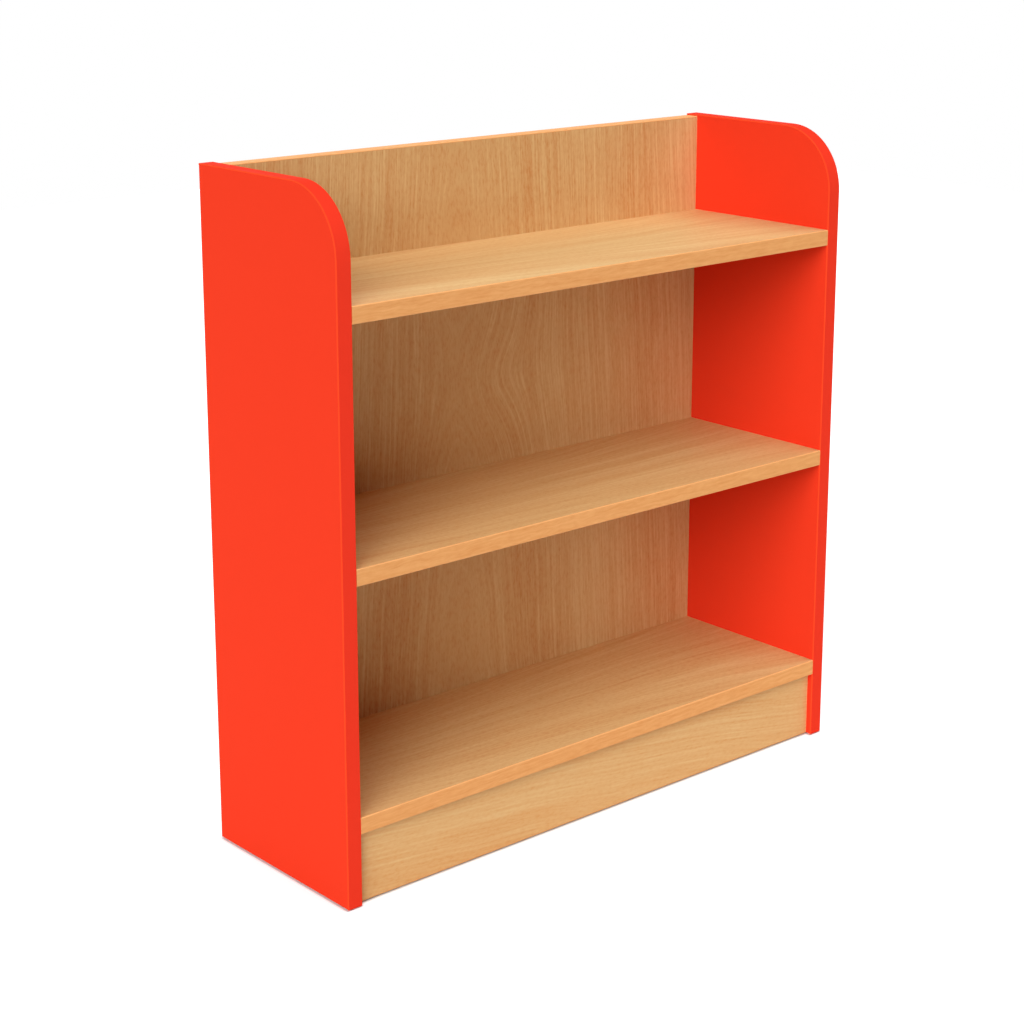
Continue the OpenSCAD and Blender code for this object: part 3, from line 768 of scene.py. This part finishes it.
def bolt_form(look, length):
    """Connecting bolt from the tip of its thread to the cross recess in its head."""
    joint = look.thread_length
    shaft_end, neck_end = joint + look.shaft_end, joint + look.neck_end
    shaft, neck, head = look.shaft / 2, look.neck / 2, look.bolt_head / 2
    cross = cross_reach(look.cross_length, look.cross_width, BOLT_SIDES)
    rings = thread_rings(
        0.0, joint, look.thread_root, look.thread_crest, look.thread_pitch, look.chamfer * 3, BOLT_SIDES
    )
    rings += [
        (joint, shaft - look.chamfer / 2), (joint + look.chamfer / 2, shaft),
        (shaft_end - look.chamfer / 2, shaft), (shaft_end, shaft - look.chamfer / 2),
        (shaft_end, neck), (neck_end, neck),
        (neck_end, head - look.chamfer / 4), (neck_end + look.chamfer / 4, head),
        (length - look.chamfer, head), (length, head - look.chamfer),
        (length, cross), (length - look.cross_depth, cross * CROSS_BOTTOM),
    ]
    return turned(*stack_rings(rings, BOLT_SIDES))


def screw_form(look, length):
    """Back screw from its tip to the hexagon socket in its head."""
    under = length - look.screw_head_height
    shoulder = under - look.shoulder_length
    shaft, head = look.screw_shoulder / 2, look.screw_head / 2
    hexagon = hexagon_reach(look.socket_width, SCREW_SIDES)
    rings = thread_rings(
        0.0, shoulder, look.screw_root, look.screw_crest, look.screw_pitch, look.screw_tip, SCREW_SIDES
    )
    rings += [
        (shoulder + look.chamfer, shaft), (under, shaft),
        (under, head - look.chamfer / 2), (under + look.chamfer / 2, head),
        (length - look.chamfer, head), (length, head - look.chamfer),
        (length, hexagon), (length - look.socket_depth, hexagon),
    ]
    return turned(*stack_rings(rings, SCREW_SIDES))


def dowel_form(look, length, diameter):
    """Dowel with flutes: its reach dips by the flute depth along each flute, and both ends are chamfered."""
    count = look.flutes * FLUTE_SIDES
    dip = look.flute_depth * (0.5 + 0.5 * np.cos(round_angles(count) * look.flutes))
    full = diameter / 2 - dip
    rings = [
        (0.0, full - look.chamfer), (look.chamfer, full),
        (length - look.chamfer, full), (length, full - look.chamfer),
    ]
    return turned(*stack_rings(rings, count))


def nail_form(look, length):
    """Nail of a glide from its point to its head, with rings whose edges slope towards the point."""
    under = length - look.nail_head_height
    shaft, head = look.nail / 2, look.nail_head / 2
    rings = [(0.0, shaft * NAIL_TIP)]
    for place in np.arange(look.nail_point, under - look.ring_pitch * 2, look.ring_pitch):
        rings += [(place, shaft - look.ring_depth), (place + look.ring_pitch * RING_SLOPE, shaft)]
    rings += [
        (under, shaft), (under, head - look.chamfer / 4), (under + look.chamfer / 4, head),
        (length - look.chamfer / 4, head), (length, head - look.chamfer / 4),
    ]
    return turned(*stack_rings(rings, NAIL_SIDES))


def fasten(node, axis, form, from_low, material):
    """Replaces the solids of a node by formed pieces along one axis.

    A form takes the length of its solid and the width across it. It starts at the solid's low
    end where from_low of that end is true, and at the high end otherwise.
    """
    points, faces, count = [], [], 0
    for low, high in solids(node):
        own_points, own_faces = form(high[axis] - low[axis], high[axis - 1] - low[axis - 1])
        sign = 1.0 if from_low(low) else -1.0
        place = np.empty_like(own_points)
        middle = (low + high) / 2
        place[:, axis] = (low[axis] if sign > 0 else high[axis]) + sign * own_points[:, 0]
        place[:, axis - 2] = middle[axis - 2] + own_points[:, 1]
        place[:, axis - 1] = middle[axis - 1] + sign * own_points[:, 2]
        points.append(place)
        faces += [[count + corner for corner in face] for face in own_faces]
        count += len(place)
    mesh = bpy.data.meshes.new(node)
    mesh.from_pydata(np.concatenate(points).tolist(), [], faces)
    mesh.shade_smooth()
    mesh.set_sharp_from_angle(angle=math.radians(SHARP_EDGE))
    mesh.materials.append(material)
    piece = bpy.data.objects.new(node + "_formed", mesh)
    bpy.context.scene.collection.objects.link(piece)
    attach(piece, BODY)
    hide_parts(node)


class BOOKCASE_OT_end_panels(bpy.types.Operator):
    """Red laminate on the two end panels"""

    bl_idname = "bookcase.end_panels"
    bl_label = "End Panels"

    def execute(self, context):
        for end in ENDS:
            red_board(end + "_panel", context)
        return {"FINISHED"}


class BOOKCASE_OT_boards(bpy.types.Operator):
    """Beech laminate on the shelves, the back panel and the plinth"""

    bl_idname = "bookcase.boards"
    bl_label = "Shelves, Back and Plinth"

    def execute(self, context):
        for node, grain in GRAINS.items():
            beech_board(node, grain, context)
        return {"FINISHED"}


class BOOKCASE_OT_bands(bpy.types.Operator):
    """Plastic edge bands, red on the ends and beech on the other boards"""

    bl_idname = "bookcase.bands"
    bl_label = "Edge Bands"

    def execute(self, context):
        bands = sorted(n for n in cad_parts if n.endswith("_band"))
        for number, node in enumerate(bands):
            if node.startswith(ENDS):
                red_band(node, context)
            else:
                beech_band(node, SEED_STEP * number, context)
        return {"FINISHED"}


class BOOKCASE_OT_fasteners(bpy.types.Operator):
    """Threaded bolts and screws, fluted dowels and ringed nails in place of the plain ones"""

    bl_idname = "bookcase.fasteners"
    bl_label = "Fasteners"

    def execute(self, context):
        fittings, look = context.scene.bookcase_fittings, context.scene.bookcase_fasteners
        steel = metal(
            fittings, "plated_steel", fittings.steel, fittings.steel_roughness, fittings.steel_grain
        )
        steel_forms = (
            ("_bolts", X, bolt_form, lambda low: low[X] < 0.0),
            ("_screws", Y, screw_form, lambda low: True),
            ("_nails", Z, nail_form, lambda low: False),
        )
        for node in sorted(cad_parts):
            for ending, axis, form, from_low in steel_forms:
                if node.endswith(ending):
                    fasten(
                        node, axis, lambda length, across: form(look, length), from_low, steel,
                    )
            if node.endswith("_dowels"):
                axis = Z if node == "plinth_top_dowels" else X
                fasten(
                    node, axis, lambda length, across: dowel_form(look, length, across),
                    lambda low: True, raw_beech(fittings, node + "_wood", axis),
                )
        return {"FINISHED"}


class BOOKCASE_OT_fittings(bpy.types.Operator):
    """Cast metal and moulded plastic of the fittings"""

    bl_idname = "bookcase.fittings"
    bl_label = "Fittings"

    def execute(self, context):
        fittings = context.scene.bookcase_fittings
        zinc = metal(fittings, "die_cast_zinc", fittings.zinc, fittings.zinc_roughness, fittings.zinc_grain)
        cap = plastic(fittings, "cap_plastic", fittings.plastic, fittings.plastic_roughness)
        nylon = plastic(fittings, "glide_nylon", fittings.nylon, fittings.nylon_roughness)
        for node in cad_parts:
            if node.endswith("_cams"):
                dress(node, zinc)
            elif node.endswith(("_caps", "_plugs")):
                dress(node, cap)
            elif node.endswith("_glides"):
                dress(node, nylon)
        return {"FINISHED"}


def seen_by(tree, *rays):
    """1 for rays of light of these kinds, and 0 for others."""
    wires = [add_node(tree, "ShaderNodeLightPath", {}, {}, f"Is {ray} Ray") for ray in rays]
    seen = wires[0]
    for wire in wires[1:]:
        seen = seen.most(wire)
    return seen


def set_world(studio):
    """Even light of the dome on the object, and white for what the camera, mirrors and glass see."""
    world = bpy.data.worlds.new("studio")
    bpy.context.scene.world = world
    world.use_nodes = True
    tree = world.node_tree
    tree.nodes.clear()
    seen = seen_by(tree, "Camera", "Glossy", "Transmission")
    strength = seen * (1.0 - studio.dome) + studio.dome
    light = seen.node("ShaderNodeBackground", {}, {"Color": WHITE, "Strength": strength})
    seen.node("ShaderNodeOutputWorld", {}, {"Surface": light})


def add_sun(name, turn, height, size, strength):
    """A lamp far away. Turn goes from front to right, and strength is the light on a face turned to it."""
    lamp = bpy.data.lights.new(name, "SUN")
    lamp.angle, lamp.energy = size, strength
    made = bpy.data.objects.new(name, lamp)
    bpy.context.scene.collection.objects.link(made)
    level = math.cos(height)
    towards = Vector((math.sin(turn) * level, -math.cos(turn) * level, math.sin(height)))
    made.rotation_mode = "QUATERNION"
    made.rotation_quaternion = towards.to_track_quat("Z", "Y")


def outside(place, low, high):
    """How far a point of the floor lies outside the box of a board, seen from above."""
    x, y = place.axes()[:Z]
    across = (x - high.x).most(low.x - x).most(0.0)
    along = (y - high.y).most(low.y - y).most(0.0)
    return (across * across + along * along).root()


def add_floor(studio):
    """White floor with a pale shadow. It glows for the camera and mirrors, but not close to the boards."""
    half = studio.floor_size / 2.0
    corners = [(-half, -half, 0.0), (half, -half, 0.0), (half, half, 0.0), (-half, half, 0.0)]
    mesh = bpy.data.meshes.new("floor")
    mesh.from_pydata(corners, [], [(0, 1, 2, 3)])
    floor = bpy.data.objects.new("floor", mesh)
    bpy.context.scene.collection.objects.link(floor)
    material, place = new_material("studio_floor")
    seen = seen_by(material.node_tree, "Camera", "Glossy")
    boards = ("left_end_panel", "right_end_panel", "plinth", "back_panel")
    left, right, front, back = [outside(place, *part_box(node)) for node in boards]
    nearest = left.least(right).least(front).least(back)
    strength = seen * nearest.step(0.0, studio.contact) * studio.floor_glow
    matt = seen.node("ShaderNodeBsdfDiffuse", {}, {"Color": studio.floor_colour})
    glow = seen.node("ShaderNodeEmission", {}, {"Color": WHITE, "Strength": strength})
    both = seen.node("ShaderNodeAddShader", {}, {0: matt, 1: glow})
    seen.node("ShaderNodeOutputMaterial", {}, {"Surface": both})
    mesh.materials.append(material)


class BOOKCASE_OT_studio(bpy.types.Operator):
    """White floor, soft light and a camera at the viewing angle of the photograph"""

    bl_idname = "bookcase.studio"
    bl_label = "Studio"

    def execute(self, context):
        studio = context.scene.bookcase_studio
        context.scene.view_settings.view_transform = "Standard"
        set_world(studio)
        add_floor(studio)
        add_sun("key_light", studio.key_turn, studio.key_height, studio.key_size, studio.key_strength)
        add_sun("fill_light", studio.fill_turn, studio.fill_height, studio.fill_size, studio.fill_strength)
        add_sun("back_light", studio.back_turn, studio.back_height, studio.back_size, studio.back_strength)
        lens = bpy.data.cameras.new("camera")
        lens.lens = studio.lens
        lens.sensor_width = studio.sensor
        lens.shift_y = studio.shift
        lens.clip_end = studio.camera_reach
        camera = bpy.data.objects.new("camera", lens)
        context.scene.collection.objects.link(camera)
        camera.location = studio.camera_place
        camera.rotation_euler = (studio.camera_pitch, 0.0, studio.camera_turn)
        context.scene.camera = camera
        return {"FINISHED"}


class BOOKCASE_PT_sidebar(bpy.types.Panel):
    """Steps that dress the bookcase, in order, and the values that they use"""

    bl_label = "Bookcase"
    bl_idname = "BOOKCASE_PT_sidebar"
    bl_space_type = "VIEW_3D"
    bl_region_type = "UI"
    bl_category = "Bookcase"

    def draw(self, context):
        for step in STEPS:
            self.layout.operator(step.bl_idname)
        for name, group in LOOKS.items():
            box = self.layout.box()
            box.label(text=group.__doc__)
            for value in group.__annotations__:
                box.prop(getattr(context.scene, name), value)


LOOKS = {
    "bookcase_beech": BookcaseBeech,
    "bookcase_red": BookcaseRed,
    "bookcase_core": BookcaseCore,
    "bookcase_bands": BookcaseBands,
    "bookcase_fittings": BookcaseFittings,
    "bookcase_fasteners": BookcaseFasteners,
    "bookcase_studio": BookcaseStudio,
}
STEPS = (
    BOOKCASE_OT_end_panels,
    BOOKCASE_OT_boards,
    BOOKCASE_OT_bands,
    BOOKCASE_OT_fittings,
    BOOKCASE_OT_fasteners,
    BOOKCASE_OT_studio,
)


def register():
    for kind in (*LOOKS.values(), *STEPS, BOOKCASE_PT_sidebar):
        bpy.utils.register_class(kind)
    for name, group in LOOKS.items():
        setattr(bpy.types.Scene, name, PointerProperty(type=group))


def unregister():
    for name in LOOKS:
        delattr(bpy.types.Scene, name)
    for kind in (BOOKCASE_PT_sidebar, *STEPS, *LOOKS.values()):
        bpy.utils.unregister_class(kind)


def main():
    register()
    for step in STEPS:
        area, action = step.bl_idname.split(".")
        getattr(getattr(bpy.ops, area), action)()


if __name__ == "__main__":
    main()
